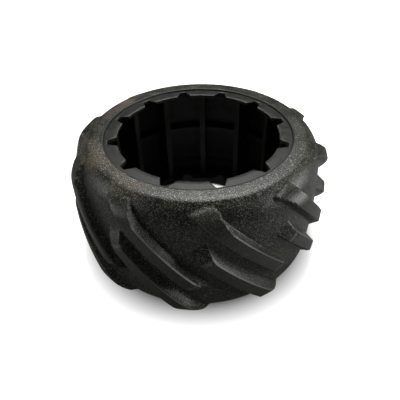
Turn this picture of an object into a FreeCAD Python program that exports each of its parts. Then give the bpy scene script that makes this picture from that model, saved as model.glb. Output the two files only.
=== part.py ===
import FreeCAD, Part
import math
import os

# Hollow rubber drive tire for a robotic mower, moulded as one piece.
# The axle line is Z. The tire stands on its lower lip at z = 0.

# Driving dimensions, in millimetres and degrees

tire_width = 117.0            # lip to lip, along the axle
carcass_radius = 112.0        # tread face between the lugs, at mid width
crown_radius = 500.0          # slight crown of the tread face
shoulder_radius = 25.0        # round between tread face and lip
shoulder_rise = 3.8           # the flat lip cuts this much off the top of the shoulder round
wall = 7.5                    # tread and shoulder wall

seat_radius = 86.0            # step in the lip that takes the wheel disc
seat_depth = 2.0
flange_radius = 74.5          # inner edge of the flange tabs
flange_thickness = 3.5
flange_root_radius = 84.0     # where the flange's back meets the hollow's top
hollow_top_angle = 60.0       # where the hollow's shoulder round ends, above the rim plane

tab_count = 12
notch_radius = 83.0           # bottom of the notch between two tabs
notch_mouth = 14.0            # width at the tabs' inner edge
notch_bottom = 6.5

rib_radius = 76.5             # inner edge of the ribs below the tabs
rib_thickness = 6.0

band_width = 7.0              # ring round the inside at mid width
band_height = 8.0
band_draft = 1.0

lug_count = 10                # in each of the two rows
lug_height = 8.0
lug_land = 9.4                # width of the lug's outer face
lug_lip_draft = 10.0          # slope of the flank that faces the lug's own lip
lug_inner_draft = 25.0        # slope of the flank that faces away from it
lug_slant = 46.0              # angle between a lug and the rim
lug_phase = 30.35             # from a tab's middle to an upper lug at mid width
lug_shoulder_radius = 20.0    # round of the lugs' outer faces at the shoulder
lug_shoulder_drop = 2.5       # the lugs stay this far below the lip
lug_start = 0.4               # shoulder end of the land, below the lands' highest level
lug_end = 72.0                # inner end of the land, below the same lip
lug_start_edge = 16.0         # angle between the shoulder end's edges and the rim
lug_end_edge = 28.0           # angle between the inner end's edges and the rim
lug_start_lean = 30.0         # lean of the shoulder end from the radius
lug_end_lean = 55.0           # lean of the inner end from the radius

# Worked-out values

half_width = tire_width / 2
land_radius = carcass_radius + lug_height
tab_pitch = 360.0 / tab_count
lug_pitch = 360.0 / lug_count
lug_root = 0.6 * wall         # how far a lug reaches into the wall
lug_stations = 10             # sections that a lug is lofted through
overshoot = 2.0               # past a face that is cut through
axle = FreeCAD.Vector(0, 0, 1)
centre = FreeCAD.Vector(0, 0, 0)


def section_point(radius, height):
    return FreeCAD.Vector(radius, 0, height)


def mirrored(point):
    return FreeCAD.Vector(point.x, point.y, -point.z)


def line(start, end):
    return Part.LineSegment(start, end).toShape()


def arc(start, middle, end):
    return Part.Arc(start, middle, end).toShape()


class Barrel:
    """Half section of a crowned drum with tangent shoulder rounds, mirrored about mid width."""

    def __init__(self, half, radius, crown, shoulder):
        self.radius = radius
        self.crown = crown
        self.shoulder = shoulder
        self.crown_centre = radius - crown
        self.height = half - shoulder
        self.centre = self.crown_centre + math.sqrt((crown - shoulder) ** 2 - self.height ** 2)
        self.tangent_angle = math.degrees(math.atan2(self.height, self.centre - self.crown_centre))
        self.tangent = self.shoulder_point(self.tangent_angle)

    def shoulder_point(self, angle):
        turn = math.radians(angle)
        radius = self.centre + self.shoulder * math.cos(turn)
        return section_point(radius, self.height + self.shoulder * math.sin(turn))

    def crown_at(self, height):
        return self.crown_centre + math.sqrt(self.crown ** 2 - height ** 2)

    def radius_at(self, height):
        if abs(height) <= self.tangent.z:
            return self.crown_at(height)
        return self.centre + math.sqrt(self.shoulder ** 2 - (abs(height) - self.height) ** 2)

    def shoulder_edge(self, top_angle):
        """The upper shoulder round, from the top down to the crown."""
        middle = self.shoulder_point((top_angle + self.tangent_angle) / 2)
        return arc(self.shoulder_point(top_angle), middle, self.tangent)

    def crown_edge(self, upper, lower):
        """The crown between two heights, from the top down."""
        middle = (upper + lower) / 2
        points = [section_point(self.radius_at(z), z) for z in (upper, middle, lower)]
        return arc(*points)

    def outline(self, top_angle):
        """The whole section, from the top down."""
        shoulder = self.shoulder_edge(top_angle)
        return [shoulder, self.crown_edge(self.tangent.z, -self.tangent.z), below(shoulder)]


def below(edge):
    """The same edge on the other side of mid width."""
    return edge.mirror(centre, axle)


def carcass_barrel(offset):
    """The carcass's outline, moved outwards by an offset."""
    return Barrel(
        half_width + shoulder_rise + offset,
        carcass_radius + offset,
        crown_radius + offset,
        shoulder_radius + offset,
    )


outside = carcass_barrel(0)
inside = carcass_barrel(-wall)
mid_wall = carcass_barrel(-wall / 2)
blade_top = carcass_barrel(lug_height)
lands = Barrel(
    half_width - lug_shoulder_drop, land_radius, crown_radius + lug_height, lug_shoulder_radius
)
lip_edge_angle = math.degrees(math.asin((half_width - outside.height) / shoulder_radius))


def revolved(edges):
    wire = Part.Wire(Part.sortEdges(edges)[0])
    return Part.Face(wire).revolve(centre, axle, 360)


def carcass():
    """Lips, seats, flanges, shoulders and tread wall as one turned section."""
    flange_face = half_width - seat_depth
    flange_back = flange_face - flange_thickness
    band_root = band_width / 2 + band_draft
    band_tip = section_point(inside.radius - band_height, band_width / 2)
    side = [
        outside.shoulder_point(lip_edge_angle),
        section_point(seat_radius, half_width),
        section_point(seat_radius, flange_face),
        section_point(flange_radius, flange_face),
        section_point(flange_radius, flange_back),
        section_point(flange_root_radius, flange_back),
        inside.shoulder_point(hollow_top_angle),
    ]
    upper = [line(a, b) for a, b in zip(side, side[1:])]
    upper += [
        inside.shoulder_edge(hollow_top_angle),
        inside.crown_edge(inside.tangent.z, band_root),
        line(section_point(inside.radius_at(band_root), band_root), band_tip),
    ]
    lower = [below(edge) for edge in upper]
    band_face = [line(band_tip, mirrored(band_tip))]
    return revolved(outside.outline(lip_edge_angle) + upper + band_face + lower)


def land_barrel():
    """The turned body that the lugs' outer faces lie on."""
    top = lands.shoulder_point(90)
    high = section_point(0, top.z)
    ends = [line(top, high), line(high, mirrored(high)), line(mirrored(high), mirrored(top))]
    return revolved(lands.outline(90) + ends)


def turned(shape, angle):
    copy = shape.copy()
    copy.rotate(centre, axle, angle)
    return copy


def flipped(shape):
    """Turned end for end, as the lower half of the tire is to the upper half."""
    copy = shape.copy()
    copy.rotate(centre, FreeCAD.Vector(1, 0, 0), 180)
    return copy


def notch():
    """Cutter for one tapered notch through the upper flange, towards +X."""
    slope = (notch_mouth - notch_bottom) / 2 / (notch_radius - flange_radius)
    mouth_radius = flange_radius - overshoot
    mouth = notch_mouth / 2 + overshoot * slope
    base = half_width - seat_depth - flange_thickness - overshoot
    corners = [
        FreeCAD.Vector(mouth_radius, -mouth, base),
        FreeCAD.Vector(notch_radius, -notch_bottom / 2, base),
        FreeCAD.Vector(notch_radius, notch_bottom / 2, base),
        FreeCAD.Vector(mouth_radius, mouth, base),
    ]
    face = Part.Face(Part.makePolygon(corners + corners[:1]))
    return face.extrude(FreeCAD.Vector(0, 0, flange_thickness + 2 * overshoot))


def rib():
    """Upright plate towards +X, from flange to flange and into the wall."""
    wall_top = mid_wall.shoulder_point(hollow_top_angle)
    inner_top = section_point(rib_radius, half_width - seat_depth - flange_thickness / 2)
    edges = mid_wall.outline(hollow_top_angle)
    edges += [
        line(wall_top, inner_top),
        line(inner_top, mirrored(inner_top)),
        line(mirrored(inner_top), mirrored(wall_top)),
    ]
    plate = Part.Face(Part.Wire(Part.sortEdges(edges)[0]))
    plate.translate(FreeCAD.Vector(0, -rib_thickness / 2, 0))
    return plate.extrude(FreeCAD.Vector(0, rib_thickness, 0))


def lug_frame(height):
    """Radial and tangent directions at the middle of an upper lug, at a height."""
    lead = land_radius * math.tan(math.radians(lug_slant))
    angle = math.radians(lug_phase) - height / lead
    radial = FreeCAD.Vector(math.sin(angle), -math.cos(angle), 0)
    tangent = FreeCAD.Vector(math.cos(angle), math.sin(angle), 0)
    return radial, tangent


def lug_section(height):
    """Tapered section of the lug's blade, square to the lug."""
    radial, tangent = lug_frame(height)
    slant = math.radians(lug_slant)
    across = tangent * math.sin(slant) + axle * math.cos(slant)
    lip_taper = math.tan(math.radians(lug_lip_draft))
    inner_taper = math.tan(math.radians(lug_inner_draft))
    half_land = lug_land / 2
    land_at = blade_top.crown_at(height)
    root_at = blade_top.radius_at(height) - lug_height - lug_root
    depth = land_at - root_at
    outer = axle * height + radial * (land_at + overshoot)
    root = axle * height + radial * root_at
    corners = [
        root - across * (half_land + depth * inner_taper),
        outer - across * (half_land - overshoot * inner_taper),
        outer + across * (half_land - overshoot * lip_taper),
        root + across * (half_land + depth * lip_taper),
    ]
    return Part.makePolygon(corners + corners[:1])


def end_cutter(height, away, lean, edge_angle):
    """Block beyond a lug's end face, which leans away from the end of the land at a height."""
    radial, tangent = lug_frame(height)
    edge_turn = math.radians(edge_angle)
    edge = tangent * math.cos(edge_turn) + axle * math.sin(edge_turn)
    slope = away * math.sin(math.radians(lean)) - radial * math.cos(math.radians(lean))
    reach = 4 * (lug_land + lug_height)
    land_end = axle * height + radial * lands.radius_at(height)
    corners = [
        land_end - (edge + slope) * reach,
        land_end + (edge - slope) * reach,
        land_end + (edge + slope) * reach,
        land_end - (edge - slope) * reach,
    ]
    normal = edge.cross(slope)
    normal.normalize()
    if normal.dot(away) < 0:
        normal = -normal
    return Part.Face(Part.makePolygon(corners + corners[:1])).extrude(normal * 2 * reach)


def upper_lug():
    """One slanted lug from the upper shoulder to past mid width, rooted in the wall."""
    start = half_width - lug_shoulder_drop - lug_start
    end = half_width - lug_end
    first = half_width + lug_height
    last = end - 3 * lug_height
    step = (last - first) / (lug_stations - 1)
    sections = [lug_section(first + i * step) for i in range(lug_stations)]
    lug = Part.makeLoft(sections, True, False).common(land_barrel())
    slant = math.radians(lug_slant)
    shoulder_away = -lug_frame(start)[1]
    inner_away = lug_frame(end)[1] * math.cos(slant) - axle * math.sin(slant)
    lug = lug.cut(end_cutter(start, shoulder_away, lug_start_lean, lug_start_edge))
    return lug.cut(end_cutter(end, inner_away, lug_end_lean, lug_end_edge))


def lugs():
    """Two staggered rows, the lower one being the upper one turned end for end."""
    upper = upper_lug()
    lower_turn = 2 * lug_phase + lug_pitch / 2 - 180
    lower = turned(flipped(upper), lower_turn)
    rows = []
    for i in range(lug_count):
        rows.append(turned(upper, i * lug_pitch))
        rows.append(turned(lower, i * lug_pitch))
    return rows


def tire():
    upper_notch = notch()
    ribs = [turned(rib(), -90 + i * tab_pitch) for i in range(tab_count)]
    notches = []
    for i in range(tab_count):
        between_tabs = -90 + (i + 0.5) * tab_pitch
        notches.append(turned(upper_notch, between_tabs))
        notches.append(turned(flipped(upper_notch), between_tabs))
    body = carcass().multiFuse(ribs + lugs())
    body = body.cut(Part.makeCompound(notches))
    body = body.removeSplitter()
    body.translate(FreeCAD.Vector(0, 0, half_width))
    return body.Solids[0] if len(body.Solids) == 1 else body


os.makedirs("parts", exist_ok=True)
part = tire()
print("solids", len(part.Solids), "valid", part.isValid(), "volume", round(part.Volume), part.BoundBox)
part.exportStep("parts/tire.step")
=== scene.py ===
import math

import bmesh
import bpy
import numpy as np
from mathutils import Matrix, Vector


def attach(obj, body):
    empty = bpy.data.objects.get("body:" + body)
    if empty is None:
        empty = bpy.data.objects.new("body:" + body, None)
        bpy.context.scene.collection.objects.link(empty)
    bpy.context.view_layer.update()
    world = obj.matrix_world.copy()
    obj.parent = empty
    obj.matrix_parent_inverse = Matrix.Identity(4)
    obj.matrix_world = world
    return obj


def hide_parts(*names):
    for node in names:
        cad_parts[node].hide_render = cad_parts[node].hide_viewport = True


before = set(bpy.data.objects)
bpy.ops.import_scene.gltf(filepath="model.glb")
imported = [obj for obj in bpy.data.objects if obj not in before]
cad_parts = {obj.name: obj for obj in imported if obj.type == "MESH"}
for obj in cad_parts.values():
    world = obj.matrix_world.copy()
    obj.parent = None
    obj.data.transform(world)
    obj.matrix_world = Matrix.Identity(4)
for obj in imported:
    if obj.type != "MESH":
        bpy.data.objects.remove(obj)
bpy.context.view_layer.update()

# Driving dimensions of the tire, in millimetres and degrees, as in the solid

MM = 0.001
tire_width = 117.0
carcass_radius = 112.0
crown_radius = 500.0
shoulder_radius = 25.0
shoulder_rise = 3.8
wall = 7.5

seat_radius = 86.0
seat_depth = 2.0
flange_radius = 74.5
flange_thickness = 3.5
flange_root_radius = 84.0
hollow_top_angle = 60.0

tab_count = 12
notch_radius = 83.0
notch_mouth = 14.0
notch_bottom = 6.5

rib_radius = 76.5
rib_thickness = 6.0

band_width = 7.0
band_height = 8.0
band_draft = 1.0

lug_count = 10
lug_height = 8.0
lug_land = 9.4
lug_lip_draft = 10.0
lug_inner_draft = 25.0
lug_slant = 46.0
lug_phase = 30.35
lug_shoulder_radius = 20.0
lug_shoulder_drop = 2.5
lug_start = 0.4
lug_end = 72.0
lug_start_edge = 16.0
lug_end_edge = 28.0
lug_start_lean = 30.0
lug_end_lean = 55.0

# Softness of the moulded edges, in millimetres

land_edge_round = 0.9
lug_end_round = 4.0
lug_foot_round = 1.0
edge_round = 0.5

# Share of a round by which its middle stands off the corner, and angle of an edge that stays sharp

round_middle = 0.3
sharp_edge_angle = 42.0

# Reach of the wear and of the painted edge highlights, in millimetres, and the wear's strength on the
# flanges and the painted highlight's on their rims

lip_fade = 8.0
edge_highlight_height = 3.0
flange_share = 0.9
rim_highlight_share = 0.6

# Columns of the mesh, in degrees from the middle of a lug or a tab, and the one at a rib's side

lug_columns = [1.7, 2.7, 2.95, 3.15, 3.45, 4.1, 4.6, 5.2, 5.8, 6.4, 7.6]
tab_columns = [
    0.9, 1.7, 2.25, 2.6, 3.6, 4.8, 6.0, 7.2, 8.3, 9.2,
    9.6, 9.9, 10.6, 11.4, 12.1, 12.6, 12.9, 13.5, 14.2,
]
rib_edge_column = 3

# Rows of the mesh: shares across a lip and a flange, counts elsewhere, first shoulder row's offset

lip_rows = (0.15, 0.35, 0.55, 0.72)
flange_face_rows = (0.6, 0.3)
shoulder_rows = 32
first_shoulder_row = 0.8
crown_rows = 27
hollow_shoulder_rows = 8
hollow_wall_rows = 5

# How closely the surfaces are worked out: numbers of passes, least cosines, and a slack in mm

halvings = 30
flank_passes = 4
least_facing = 0.1
least_outward = 0.2
height_slack = 0.01

# Worked-out values

half_width = tire_width / 2
land_radius = carcass_radius + lug_height
whole_turn = 2 * math.pi
lug_pitch = math.radians(360 / lug_count)
tab_pitch = math.radians(360 / tab_count)
slant = math.radians(lug_slant)
lip_taper = math.tan(math.radians(lug_lip_draft))
inner_taper = math.tan(math.radians(lug_inner_draft))
lead = land_radius * math.tan(slant)
phase = math.radians(lug_phase)
up = np.array([0.0, 0.0, 1.0])


class Barrel:
    """Half section of a crowned drum with tangent shoulder rounds, mirrored about mid width."""

    def __init__(self, half, radius, crown, shoulder):
        self.radius = radius
        self.crown = crown
        self.shoulder = shoulder
        self.crown_centre = radius - crown
        self.height = half - shoulder
        self.centre = self.crown_centre + math.sqrt((crown - shoulder) ** 2 - self.height ** 2)
        self.tangent_angle = math.atan2(self.height, self.centre - self.crown_centre)
        self.tangent_z = self.height + shoulder * math.sin(self.tangent_angle)

    def shoulder_point(self, angle):
        radius = self.centre + self.shoulder * math.cos(angle)
        return radius, self.height + self.shoulder * math.sin(angle)

    def crown_at(self, z):
        return self.crown_centre + np.sqrt(self.crown ** 2 - z ** 2)

    def radius_at(self, z):
        """Radius at heights from mid width; past the top of the round it stays at the round's centre."""
        z = np.abs(z)
        rise = np.clip(self.shoulder ** 2 - (z - self.height) ** 2, 0, None)
        return np.where(z <= self.tangent_z, self.crown_at(z), self.centre + np.sqrt(rise))

    def gap(self, radius, z):
        """How far a point is inside this outline, negative outside."""
        z = np.abs(z)
        from_crown = self.crown - np.hypot(radius - self.crown_centre, z)
        from_round = self.shoulder - np.hypot(radius - self.centre, z - self.height)
        above = np.arctan2(z, radius - self.crown_centre) > self.tangent_angle
        return np.where(above, from_round, from_crown)


def carcass_barrel(offset):
    return Barrel(
        half_width + shoulder_rise + offset,
        carcass_radius + offset,
        crown_radius + offset,
        shoulder_radius + offset,
    )


outside = carcass_barrel(0)
inside = carcass_barrel(-wall)
blade_top = carcass_barrel(lug_height)
lands = Barrel(
    half_width - lug_shoulder_drop, land_radius, crown_radius + lug_height, lug_shoulder_radius
)
lip_edge_angle = math.asin((half_width - outside.height) / shoulder_radius)
lip_radius = outside.shoulder_point(lip_edge_angle)[0]


def smooth_min(a, b, width):
    return np.minimum(a, b) - np.clip(width - np.abs(a - b), 0, None) ** 2 / (4 * width)


def smooth_max(a, b, width):
    return -smooth_min(-a, -b, width)


def wrapped(angle, period):
    """The angle less whole periods, so that it lies within half a period of zero."""
    return (angle + period / 2) % period - period / 2


def place(radius, z, angle):
    """Points from radius, height from mid width and angle, in metres in the tire's frame."""
    return MM * np.stack(
        [radius * np.sin(angle), -radius * np.cos(angle), z + half_width], axis=-1
    )


# Tread lugs as a height over the carcass


def direction(angle):
    """Radial and tangent directions at angles from the front towards +X."""
    zero = np.zeros_like(angle)
    radial = np.stack([np.sin(angle), -np.cos(angle), zero], axis=-1)
    tangent = np.stack([np.cos(angle), np.sin(angle), zero], axis=-1)
    return radial, tangent


def end_plane(z, lean, edge_angle, along_lug):
    """Point and outward normal of a lug's sloped end face, where its land ends at height z."""
    radial, tangent = direction(np.array(phase - z / lead))
    edge = tangent * math.cos(math.radians(edge_angle)) + up * math.sin(math.radians(edge_angle))
    away = tangent * math.cos(slant) - up * math.sin(slant) if along_lug else -tangent
    slope = away * math.sin(math.radians(lean)) - radial * math.cos(math.radians(lean))
    normal = np.cross(edge, slope)
    normal *= np.sign(normal @ away) / np.linalg.norm(normal)
    return radial * lands.radius_at(z) + up * z, normal


land_start = half_width - lug_shoulder_drop - lug_start
start_plane = end_plane(land_start, lug_start_lean, lug_start_edge, False)
inner_plane = end_plane(half_width - lug_end, lug_end_lean, lug_end_edge, True)


def plane_limit(plane, radius, z, angle, out_r, out_z):
    """Height over the carcass at which the way straight out meets an end face."""
    point, normal = plane
    radial, _ = direction(angle)
    foot = radial * radius[..., None] + up * z[..., None]
    out = radial * out_r[..., None] + up * out_z[..., None]
    depth = (point - foot) @ normal
    return depth / np.clip(out @ normal, least_facing, None)


def land_limit(radius, z, out_r, out_z):
    """Height over the carcass of the lugs' outer faces."""
    search = 2 * lug_height
    low = np.full_like(radius, -search)
    high = np.full_like(radius, search)
    for _ in range(halvings):
        middle = (low + high) / 2
        within = lands.gap(radius + middle * out_r, z + middle * out_z) > 0
        low = np.where(within, middle, low)
        high = np.where(within, high, middle)
    return low


def upper_lugs(angle, radius, z, out_r, out_z):
    """Lug height of the upper row, with masks of the lugs' worn outer faces and of the painted highlights
    along their edges.
    """
    middle = phase - z / lead
    turn = wrapped(angle - middle, lug_pitch)
    taper = np.where(turn > 0, lip_taper, inner_taper)
    land = land_limit(radius, z, out_r, out_z)
    start = plane_limit(start_plane, radius, z, middle + turn, out_r, out_z)
    inner_end = plane_limit(inner_plane, radius, z, middle + turn, out_r, out_z)
    top = smooth_min(smooth_min(land, start, land_edge_round), inner_end, lug_end_round)
    height = np.zeros_like(radius)
    for _ in range(flank_passes):
        reach = radius + np.clip(height, 0, None) * out_r
        spread = math.sin(slant) ** 2 + reach / land_radius * math.cos(slant) ** 2
        across = np.abs(reach * turn * math.sin(slant) / spread)
        room = lug_land / 2 - across + (blade_top.crown_at(z) - radius) * taper
        flank = room / (np.clip(out_r, least_outward, None) * taper)
        height = smooth_min(top, flank, land_edge_round)
    worn = np.clip(1 - (land - height) / land_edge_round, 0, 1) * np.clip(height / lug_height, 0, 1)
    edge = np.zeros_like(radius)
    for one, other in ((top, flank), (land, inner_end)):
        edge = np.maximum(edge, np.clip(1 - np.abs(one - other) / land_edge_round, 0, 1))
    # The painted edge highlights fade towards the carcass, and where an end face lies well below the land
    edge *= np.clip(height / edge_highlight_height, 0, 1) * np.clip(2 - (land - top) / land_edge_round, 0, 1)
    return smooth_max(height, np.zeros_like(height), lug_foot_round), worn, edge


def lug_field(angle, radius, z, out_r, out_z):
    """Both rows; the lower one is the upper one turned end for end."""
    upper = upper_lugs(angle, radius, z, out_r, out_z)
    lower = upper_lugs(2 * phase + lug_pitch / 2 - angle, radius, -z, out_r, -out_z)
    return [np.maximum(first, second) for first, second in zip(upper, lower)]


# Angles of the columns: on the outside they follow the lugs, on the inside the tabs


def symmetric(steps, end):
    """One period of column angles about a centre, in radians, with the period's end once."""
    period = [-step for step in reversed(steps)] + [0.0] + steps + [end]
    return np.radians(np.array(period))


lug_period = symmetric(lug_columns, math.degrees(lug_pitch) / 4)
tab_period = symmetric(tab_columns, math.degrees(tab_pitch) / 2)
outer_angles = np.concatenate(
    [phase + i * lug_pitch / 2 + lug_period for i in range(2 * lug_count)]
)
inner_angles = np.concatenate([i * tab_pitch + tab_period for i in range(tab_count)])
columns = len(outer_angles)


def matching_shift(angles):
    """Whole number of columns that brings the inside columns nearest to given outside angles."""

    def miss(shift):
        return np.abs(wrapped(np.roll(inner_angles, -shift) - angles, whole_turn)).max()

    return min(range(columns), key=miss)


# Outside, from the upper seat edge over lip, shoulder and crown to the lower seat edge


def outer_rows():
    """Radius, height and outward direction of each row."""
    rows = []
    for share in lip_rows:
        rows.append((seat_radius + (lip_radius - seat_radius) * share, half_width, 0.0, 1.0))
    sweep = outside.tangent_angle - lip_edge_angle
    for i in range(shoulder_rows):
        angle = lip_edge_angle + sweep * (i + first_shoulder_row) / shoulder_rows
        radius, z = outside.shoulder_point(angle)
        rows.append((radius, z, math.cos(angle), math.sin(angle)))
    for i in range(crown_rows):
        z = outside.tangent_z * (1 - i / crown_rows)
        angle = math.asin(z / crown_radius)
        rows.append((float(outside.radius_at(z)), z, math.cos(angle), math.sin(angle)))
    lower = [(radius, -z, out_r, -out_z) for radius, z, out_r, out_z in reversed(rows)]
    rows.append((carcass_radius, 0.0, 1.0, 0.0))
    return np.array(rows + lower)


def outer_grid(upper_shift, lower_shift):
    """Points of the outside, rows by columns, with masks of worn faces, painted edge highlights and lip.
    """
    rows = outer_rows()
    radius, z, out_r, out_z = (np.repeat(rows[:, i : i + 1], columns, axis=1) for i in range(4))
    angle = outer_angles[None, :] - z / lead
    on_lip = np.abs(z) > half_width - height_slack
    across_lip = np.clip((radius - seat_radius) / (lip_radius - seat_radius), 0, 1)
    follows_lugs = np.where(on_lip, across_lip, 1.0)
    for shift, side in ((upper_shift, z > 0), (lower_shift, z < 0)):
        gap = wrapped(np.roll(inner_angles, -shift)[None, :] - angle, whole_turn)
        angle = np.where(side, angle + gap * (1 - follows_lugs), angle)
    height, worn, edge = lug_field(angle, radius, z, out_r, out_z)
    height = np.where(on_lip, 0, height)
    lip = np.clip(1 - (half_width - np.abs(z)) / lip_fade, 0, 1)
    return place(radius + height * out_r, z + height * out_z, angle), worn, edge, lip


# Inside, from the upper seat edge over flange, ribs and wall to the lower seat edge


def notch_edge(angle_from_notch):
    """Radius of the flange's inner edge at an angle from a notch's middle."""
    side = np.abs(angle_from_notch)
    slope = (notch_mouth - notch_bottom) / 2 / (notch_radius - flange_radius)
    bottom = notch_radius / np.cos(side)
    flank = (notch_bottom / 2 + slope * notch_radius) / (np.sin(side) + slope * np.cos(side))
    return np.maximum(np.minimum(bottom, flank), flange_radius)


def flange_rows(edge):
    """Rows from the upper seat edge to the flange's inner edge, and from there to its back."""
    flat = np.ones(columns)
    face = half_width - seat_depth
    back = face - flange_thickness
    soft = edge_round
    bevel = round_middle * edge_round
    seat = [
        (flat * seat_radius + soft, flat * half_width),
        (flat * seat_radius + bevel, flat * half_width - bevel),
        (flat * seat_radius, flat * half_width - soft),
        (flat * seat_radius, flat * face + soft),
        (flat * seat_radius - soft, flat * face),
    ]
    for share in flange_face_rows:
        seat.append((edge + (seat_radius - edge) * share, flat * face))
    seat.append((edge + soft, flat * face))
    rim = [
        (edge + bevel, flat * face - bevel),
        (edge, flat * face - soft),
        (edge, flat * back + soft),
        (edge + bevel, flat * back + bevel),
        (edge + soft, flat * back),
    ]
    return seat, rim


def hollow_rows(on_rib):
    """Rows from the flange's root down the wall to the ring at mid width, with the ribs before them."""
    rows = []
    top = math.radians(hollow_top_angle)
    for angle in np.linspace(top, inside.tangent_angle, hollow_shoulder_rows):
        rows.append(inside.shoulder_point(float(angle)))
    band_root = band_width / 2 + band_draft
    for z in np.linspace(inside.tangent_z, band_root, hollow_wall_rows)[1:]:
        rows.append((float(inside.radius_at(z)), z))
    rows.append((inside.radius - band_height, band_width / 2))
    return [(np.where(on_rib, rib_radius, radius), np.full(columns, z)) for radius, z in rows]


def inner_grid():
    """Points of the inside, rows by columns, with masks of the inside and of the painted highlights on
    the flange rims.
    """
    from_tab = np.tile(tab_period, tab_count)
    step = np.tile(np.abs(np.arange(len(tab_period)) - len(tab_columns)), tab_count)
    on_rib = step <= rib_edge_column
    edge = notch_edge(tab_pitch / 2 - np.abs(from_tab))
    seat, rim = flange_rows(edge)
    flange = seat + rim
    open_root = np.maximum(flange_root_radius, edge + 2 * edge_round)
    root = (np.where(on_rib, rib_radius - edge_round, open_root), flange[-1][1])
    upper = flange + [root] + hollow_rows(on_rib)
    rows = upper + [(radius, -z) for radius, z in reversed(upper)]
    radius = np.array([row[0] for row in rows])
    z = np.array([row[1] for row in rows])

    number = np.arange(len(rows))
    deep = ((number >= len(flange)) & (number < len(rows) - len(flange)))[:, None]
    rib_side = (step == rib_edge_column) | (step == rib_edge_column + 1)
    tab_middle = inner_angles - from_tab
    parallel = tab_middle + np.sign(from_tab) * np.arcsin(rib_thickness / 2 / radius)
    angle = np.where(deep & rib_side, parallel, inner_angles)

    inside_mask = np.where(deep, 1.0, flange_share) * np.ones_like(radius)
    rim_highlight_mask = np.zeros_like(radius)
    rim_highlight_mask[[len(seat), -1 - len(seat)]] = rim_highlight_share
    return place(radius, z, angle), inside_mask, rim_highlight_mask


# The tire's mesh


def strip_faces(strip):
    """Faces between the rows of a strip that runs right round the tire."""
    right = np.roll(strip, -1, axis=1)
    return np.stack([strip[:-1], right[:-1], right[1:], strip[1:]], axis=-1).reshape(-1, 4)


def finished_mesh(name, points, faces, zones):
    """Smooth mesh with its faces turned outwards and a value at each point for each zone of wear and of
    painted highlight.
    """
    mesh = bpy.data.meshes.new(name)
    mesh.from_pydata(points.tolist(), [], faces.tolist())
    mesh.validate()
    for zone, values in zones.items():
        layer = mesh.attributes.new(zone, "FLOAT", "POINT")
        layer.data.foreach_set("value", values.astype(np.float32))
    shell = bmesh.new()
    shell.from_mesh(mesh)
    bmesh.ops.recalc_face_normals(shell, faces=shell.faces)
    shell.to_mesh(mesh)
    shell.free()
    for polygon in mesh.polygons:
        polygon.use_smooth = True
    mesh.set_sharp_from_angle(angle=math.radians(sharp_edge_angle))
    return mesh


def build_tire():
    """One closed mesh: the inside strip and the outside strip share the two seat edges."""
    upper_shift = matching_shift(outer_angles - half_width / lead)
    lower_shift = matching_shift(outer_angles + half_width / lead)
    outer, worn, edge, lip = outer_grid(upper_shift, lower_shift)
    inner, inside_mask, rim = inner_grid()
    inner_index = np.arange(inner.shape[0] * columns).reshape(inner.shape[:2])
    outer_index = inner_index.size + np.arange(outer.shape[0] * columns).reshape(outer.shape[:2])
    first = np.roll(inner_index[0], -upper_shift)
    last = np.roll(inner_index[-1], -lower_shift)
    loop = np.concatenate([first[None], outer_index, last[None]])
    points = np.concatenate([inner.reshape(-1, 3), outer.reshape(-1, 3)])
    faces = np.concatenate([strip_faces(inner_index), strip_faces(loop[::-1])])
    none_inside = np.zeros(inner_index.size)
    none_outside = np.zeros(outer_index.size)
    zones = {
        "worn": np.concatenate([none_inside, worn.ravel()]),
        # The edge zone holds painted highlights along the lugs' edges and the flanges' rims
        "edge": np.concatenate([rim.ravel(), edge.ravel()]),
        "lip": np.concatenate([none_inside, lip.ravel()]),
        "inner": np.concatenate([inside_mask.ravel(), none_outside]),
    }
    tire = bpy.data.objects.new("tire_rubber", finished_mesh("tire_rubber", points, faces, zones))
    bpy.context.collection.objects.link(tire)
    return tire


# Nodes of a material or a world


class Shading:
    """Small helper that adds nodes to a material or a world and links them."""

    def __init__(self, owner, shader):
        owner.use_nodes = True
        self.tree = owner.node_tree
        self.shader = self.tree.nodes[shader]

    def add(self, kind, inputs=None, **settings):
        made = self.tree.nodes.new(kind)
        for name, value in settings.items():
            setattr(made, name, value)
        for name, value in (inputs or {}).items():
            self.feed(made.inputs[name], value)
        return made

    def feed(self, socket, value):
        if isinstance(value, bpy.types.NodeSocket):
            self.tree.links.new(value, socket)
        else:
            socket.default_value = value

    def to_shader(self, name, value):
        """Gives a socket of the shader itself a constant or a link."""
        self.feed(self.shader.inputs[name], value)

    def zone(self, name):
        return self.add("ShaderNodeAttribute", attribute_name=name).outputs["Fac"]

    def math(self, operation, first, second):
        return self.add("ShaderNodeMath", {0: first, 1: second}, operation=operation).outputs[0]

    def times(self, first, second):
        return self.math("MULTIPLY", first, second)

    def plus(self, first, second):
        return self.math("ADD", first, second)

    def greater(self, first, second):
        return self.math("MAXIMUM", first, second)

    def between(self, value, levels, results=(0.0, 1.0)):
        """The value's place between two levels, turned into the same place between two results."""
        inputs = {
            "Value": value,
            "From Min": levels[0],
            "From Max": levels[1],
            "To Min": results[0],
            "To Max": results[1],
        }
        return self.add("ShaderNodeMapRange", inputs).outputs["Result"]

    def blend(self, share, first, second):
        """Mix of two colours, whose sockets come after those for numbers and vectors."""
        inputs = {0: share, 6: first, 7: second}
        return self.add("ShaderNodeMix", inputs, data_type="RGBA").outputs[2]

    def cells(self, where, size):
        """Random red, green and blue values, each the same all over a small cell."""
        made = self.add("ShaderNodeTexVoronoi", {"Vector": where, "Scale": 1 / size})
        return self.add("ShaderNodeSeparateColor", {0: made.outputs["Color"]}).outputs

    def noise(self, where, size, detail):
        inputs = {"Vector": where, "Scale": 1 / size, "Detail": detail}
        return self.add("ShaderNodeTexNoise", inputs).outputs["Fac"]


# Rubber: colours, among them those of the painted glints and edge highlights, sizes of its patterns in
# metres, and finish

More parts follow.
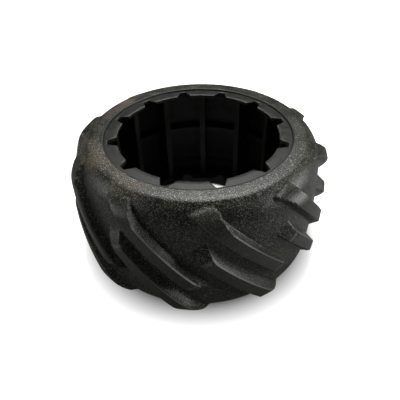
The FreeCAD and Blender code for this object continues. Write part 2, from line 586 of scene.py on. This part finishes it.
rubber_black = (0.0072, 0.0076, 0.0046, 1)
rubber_speck = (0.29, 0.3, 0.235, 1)
painted_glint_colour = (0.75, 0.75, 0.7, 1)
rubber_inside = (0.012, 0.012, 0.01, 1)
rubber_worn = (0.03, 0.0315, 0.024, 1)
painted_edge_highlight = (0.22, 0.22, 0.19, 1)
dust_brown = (0.135, 0.097, 0.053, 1)

grain_size = 1.2 * MM
speck_size = 0.52 * MM
patch_size = 22 * MM
mottle_size = 6 * MM
grain_depth = 0.3 * MM
grain_strength = 0.9
fine_detail = 3.0
patch_detail = 2.0

rubber_specular = 0.45
rough_to_worn = (0.36, 0.38)
dust_roughness = 0.4
inside_roughness = (0.0, 0.14)

# Wear, dust and painted highlights: places from one end to the other in metres, levels of the patterns,
# and what each brings

worn_smoothness = 0.7
inside_smoothness = 0.9
edge_highlight_strength = 0.8
pattern_middle = (0.35, 0.65)

speck_levels = (0.65, 0.95)
speck_strength = (0.2, 1.0)
highlight_back_to_front = (0.02, -0.08)
highlight_specks_at_front = (-0.08, 0.03)
specks_added_in_patches = (-0.12, 0.06)

dust_right_to_left = (0.0, -0.08)
dust_at_left = (0.15, 0.9)
dust_patches = (0.42, 0.65)
dust_in_grain = (0.35, 0.6)

painted_glint_levels = (0.95, 0.97)
painted_glint_back_to_front = (0.06, -0.06)
painted_glints_at_front = (0.15, 0.55)


def rubber():
    """Black moulded rubber: grained tread, smoother lug faces, dusty lip and a plain dark inside, with
    painted highlights.
    """
    material = bpy.data.materials.new("moulded_rubber")
    paint = Shading(material, "Principled BSDF")
    where = paint.add("ShaderNodeTexCoord").outputs["Object"]
    along = paint.add("ShaderNodeSeparateXYZ", {0: where}).outputs
    worn, edge, lip, inner = (paint.zone(name) for name in ("worn", "edge", "lip", "inner"))
    grain = paint.noise(where, grain_size, fine_detail)
    mottle = paint.noise(where, mottle_size, fine_detail)
    patches = paint.noise(where, patch_size, patch_detail)
    cells = paint.cells(where, speck_size)
    smooth = paint.greater(paint.times(worn, worn_smoothness), paint.times(inner, inside_smoothness))
    grainy = paint.math("SUBTRACT", 1.0, smooth)

    # Specks of the grain, which lie thicker in patches and, as a painted highlight, on the lip's front
    painted_front_highlight = paint.between(along["Y"], highlight_back_to_front, highlight_specks_at_front)
    uneven = paint.between(patches, pattern_middle, specks_added_in_patches)
    chance = paint.plus(cells["Red"], paint.times(lip, painted_front_highlight))
    chance = paint.plus(chance, paint.times(lip, uneven))
    speck = paint.between(chance, speck_levels)
    speck = paint.times(speck, paint.between(cells["Green"], (0, 1), speck_strength))
    colour = paint.blend(worn, rubber_black, rubber_worn)
    colour = paint.blend(paint.times(speck, grainy), colour, rubber_speck)

    # Brown dust in the lip's grain, most of it at the left
    dusty = paint.times(paint.between(patches, dust_patches), lip)
    dusty = paint.times(dusty, paint.between(grain, dust_in_grain))
    dusty = paint.times(dusty, paint.between(along["X"], dust_right_to_left, dust_at_left))
    colour = paint.blend(dusty, colour, dust_brown)

    # Painted glints: light specks on the lip that stand for highlights, more of them at the front
    painted_glint_share = paint.times(lip, paint.between(along["Y"], painted_glint_back_to_front, painted_glints_at_front))
    painted_glint = paint.times(paint.between(cells["Blue"], painted_glint_levels), painted_glint_share)
    colour = paint.blend(painted_glint, colour, painted_glint_colour)

    # Plain inside, and painted highlights along the lugs' edges and the flanges' rims
    mottled = paint.between(mottle, pattern_middle)
    colour = paint.blend(inner, colour, paint.blend(mottled, rubber_black, rubber_inside))
    colour = paint.blend(paint.times(edge, edge_highlight_strength), colour, painted_edge_highlight)
    paint.to_shader("Base Color", colour)

    rough = paint.between(worn, (0, 1), rough_to_worn)
    rough = paint.plus(rough, paint.times(dusty, dust_roughness))
    rough = paint.plus(rough, paint.times(inner, paint.between(mottle, pattern_middle, inside_roughness)))
    paint.to_shader("Roughness", rough)
    paint.to_shader("Specular IOR Level", rubber_specular)

    relief = {
        "Height": grain,
        "Strength": paint.times(grainy, grain_strength),
        "Distance": grain_depth,
    }
    paint.to_shader("Normal", paint.add("ShaderNodeBump", relief).outputs["Normal"])
    return material


tire = build_tire()
tire.data.materials.append(rubber())
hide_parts("tire")
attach(tire, "root")

# Floor with a painted shadow, dim under and round the tire's foot and white elsewhere: distances from the
# axle line in metres

white = (1, 1, 1, 1)
floor_size = 6.0
floor_white = (0.9, 0.9, 0.9, 1)
dim_floor_and_painted_shadow = (0.35, 0.35, 0.35, 1)
floor_glow = 0.95
floor_roughness = 0.9
painted_shadow_reach = (0.099, 0.126)
hole_edge = (0.0665, 0.0625)


def floor_paper():
    """Matt paper that glows white to the camera, apart from a painted shadow under and round the tire's
    foot, where the real shadow also shows.
    """
    material = bpy.data.materials.new("floor_paper")
    paper = Shading(material, "Principled BSDF")
    to_camera = paper.add("ShaderNodeLightPath").outputs["Is Camera Ray"]
    ground = paper.add("ShaderNodeNewGeometry").outputs["Position"]
    from_axle = paper.add("ShaderNodeVectorMath", {0: ground}, operation="LENGTH").outputs["Value"]
    outside_painted_shadow = paper.greater(paper.between(from_axle, painted_shadow_reach), paper.between(from_axle, hole_edge))
    lit = paper.times(to_camera, outside_painted_shadow)
    paper.to_shader("Base Color", paper.blend(lit, dim_floor_and_painted_shadow, floor_white))
    paper.to_shader("Roughness", floor_roughness)
    paper.to_shader("Specular IOR Level", 0.0)
    paper.to_shader("Emission Color", white)
    paper.to_shader("Emission Strength", paper.times(lit, floor_glow))
    return material


bpy.ops.mesh.primitive_plane_add(size=floor_size)
floor = bpy.context.object
floor.name = "floor"
floor.data.materials.append(floor_paper())

# World: white to the camera, and a faint even light on the tire

sky_light = 0.06

world = bpy.data.worlds.new("studio")
bpy.context.scene.world = world
sky = Shading(world, "Background")
sky_seen = sky.add("ShaderNodeLightPath").outputs["Is Camera Ray"]
sky.to_shader("Color", white)
sky.to_shader("Strength", sky.between(sky_seen, (0, 1), (sky_light, 1.0)))

# Soft studio lights, all turned to the tire's middle: places and sizes in metres

light_target = (0, 0, 0.06)
key_size = (0.45, 0.25)
fill_size = (0.5, 0.4)


def softbox(name, place_at, size, watts):
    light = bpy.data.lights.new(name, "AREA")
    light.shape = "RECTANGLE"
    light.size, light.size_y = size
    light.energy = watts
    lamp = bpy.data.objects.new(name, light)
    lamp.location = place_at
    facing = Vector(light_target) - Vector(place_at)
    lamp.rotation_euler = facing.to_track_quat("-Z", "Y").to_euler()
    bpy.context.collection.objects.link(lamp)


softbox("key", place_at=(0.03, 0.25, 0.62), size=key_size, watts=3.6)
softbox("left_fill", place_at=(-0.95, -0.28, 0.33), size=fill_size, watts=2.2)
softbox("right_fill", place_at=(0.9, -0.1, 0.25), size=fill_size, watts=4.2)

# The photo's camera, fitted to the rim's outline and the lugs' lines: metres and degrees, the lens in mm

camera_distance = 0.359
camera_elevation = 31.09
camera_azimuth = 3.87
camera_tilt = 2.97
camera_roll = -1.33
camera_lens = 35.0
camera_sensor = 36.0
lens_shift = (0.00375, -0.127)

camera_data = bpy.data.cameras.new("camera")
camera = bpy.data.objects.new("camera", camera_data)
bpy.context.collection.objects.link(camera)
camera_data.sensor_width = camera_sensor
camera_data.lens = camera_lens
camera_data.shift_x, camera_data.shift_y = lens_shift
elevation = math.radians(camera_elevation)
offset = Vector((0, -math.cos(elevation), math.sin(elevation))) * camera_distance
camera.matrix_world = (
    Matrix.Translation((0, 0, tire_width * MM))
    @ Matrix.Rotation(math.radians(camera_azimuth), 4, "Z")
    @ Matrix.Translation(offset)
    @ Matrix.Rotation(math.radians(90 - camera_elevation - camera_tilt), 4, "X")
    @ Matrix.Rotation(math.radians(camera_roll), 4, "Z")
)
bpy.context.scene.camera = camera
bpy.context.scene.view_settings.view_transform = "Standard"
